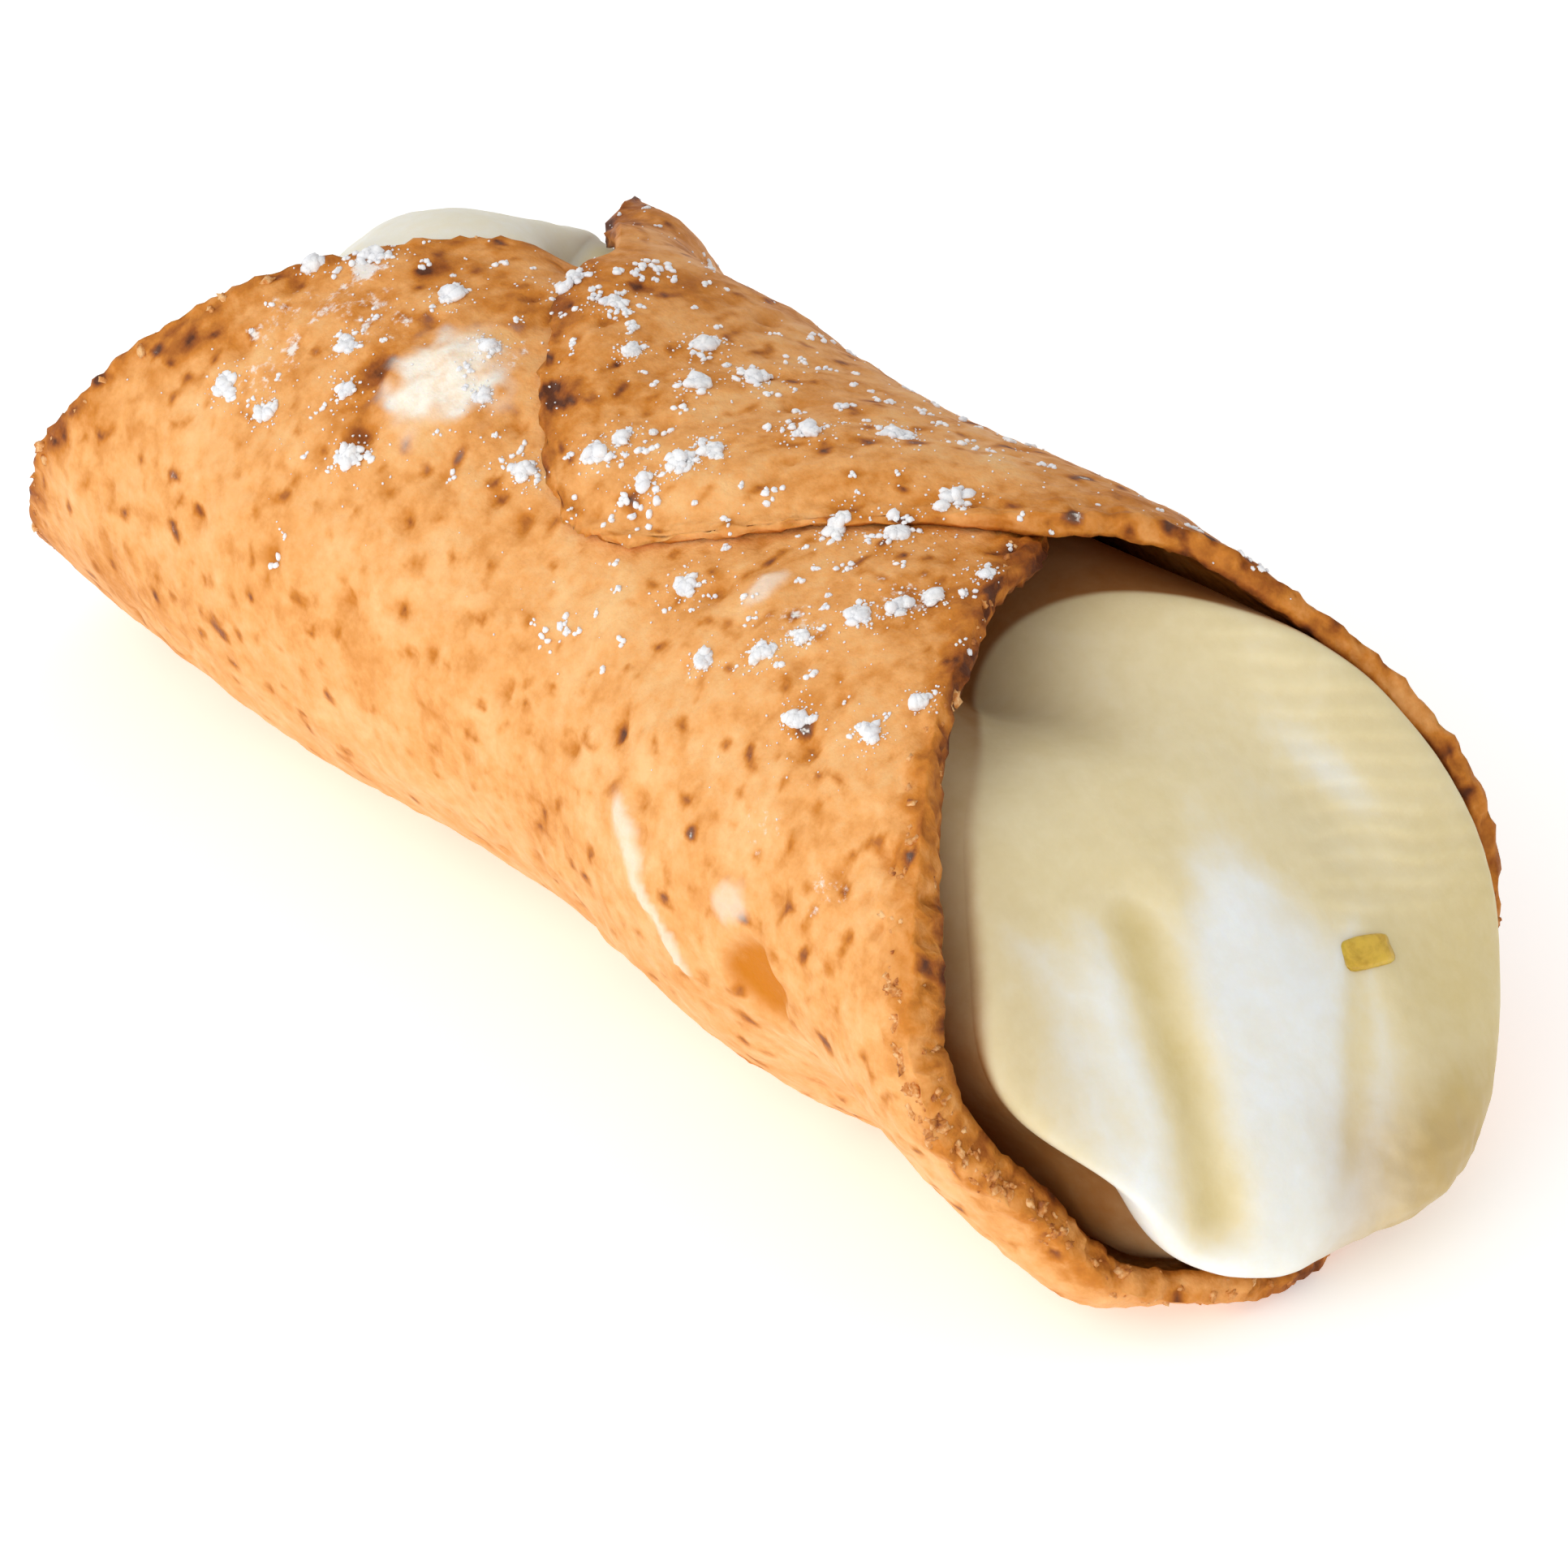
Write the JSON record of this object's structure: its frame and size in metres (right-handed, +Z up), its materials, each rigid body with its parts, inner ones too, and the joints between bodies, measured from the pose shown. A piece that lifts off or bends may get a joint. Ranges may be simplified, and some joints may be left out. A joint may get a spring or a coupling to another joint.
{
  "type": "cannoli",
  "caption": "Cannoli: a rolled, blistered fried pastry shell with an overlapping flap, filled end to end with pale ricotta cream and dusted with icing sugar.",
  "frame": {"origin": "middle of the bounding box, on the surface that the roll lies on", "axes": "+X along the roll towards its wider mouth, +Y towards the side the flap comes from, +Z up"},
  "size_m": [0.1227, 0.0514, 0.041],
  "materials": {
    "dough": "fried dough, golden orange, blistered and dry, browned at the rims",
    "cream": "smooth ricotta cream, pale yellow to white, softly shining"
  },
  "bodies": {
    "root": {"shell": "dough", "cream": "cream"}
  },
  "joints": []
}
